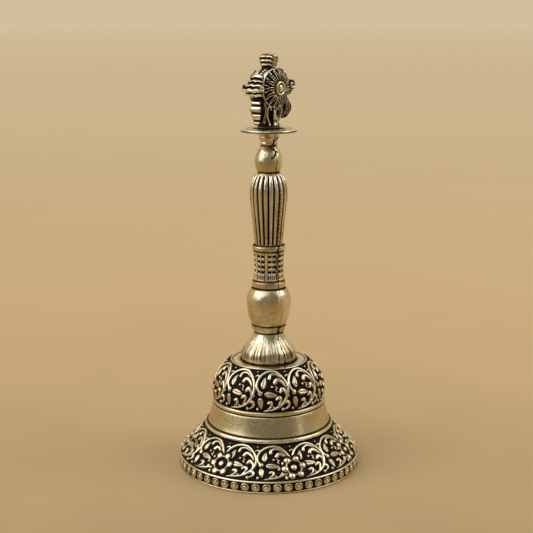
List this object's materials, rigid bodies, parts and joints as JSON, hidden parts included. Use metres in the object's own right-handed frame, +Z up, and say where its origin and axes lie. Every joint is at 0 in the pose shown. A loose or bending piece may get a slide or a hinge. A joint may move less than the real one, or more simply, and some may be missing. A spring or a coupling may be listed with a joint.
{
  "type": "hand bell",
  "caption": "Brass prayer hand bell with a flared cup, turned and fluted handle, round plate, wheel finial and a clapper hung inside on a loose link.",
  "frame": {"origin": "centre of the mouth rim, on the plane the bell stands on", "axes": "+Z up along the bell's axis, -Y out of the front face of the wheel finial"},
  "size_m": [0.074, 0.074, 0.165],
  "materials": {
    "bell_brass": "antique silver-brass with dark patina",
    "handle_brass": "antique silver-brass with dark patina",
    "finial_brass": "antique silver-brass with dark patina",
    "clapper_brass": "satin, worn",
    "steel": "dull"
  },
  "bodies": {
    "bell": {"bell_cup": "bell_brass", "crown_washer": "steel", "crown_nut": "steel", "eye_bolt": "steel", "handle_left_half": "handle_brass", "handle_right_half": "handle_brass", "top_plate": "handle_brass", "chakra_finial": "finial_brass"},
    "link": {"clapper_link": "steel"},
    "clapper": {"clapper_rod": "steel", "clapper_ball": "clapper_brass"}
  },
  "joints": [
    {"name": "link_swing", "type": "hinge", "parent": "bell", "child": "link", "pos_m": [0, 0, 0.03285], "axis": [1, 0, 0], "range_deg": [-14, 14]},
    {"name": "clapper_swing", "type": "hinge", "parent": "link", "child": "clapper", "pos_m": [0, 0, 0.02835], "axis": [0, 1, 0], "range_deg": [-54, 54]}
  ]
}
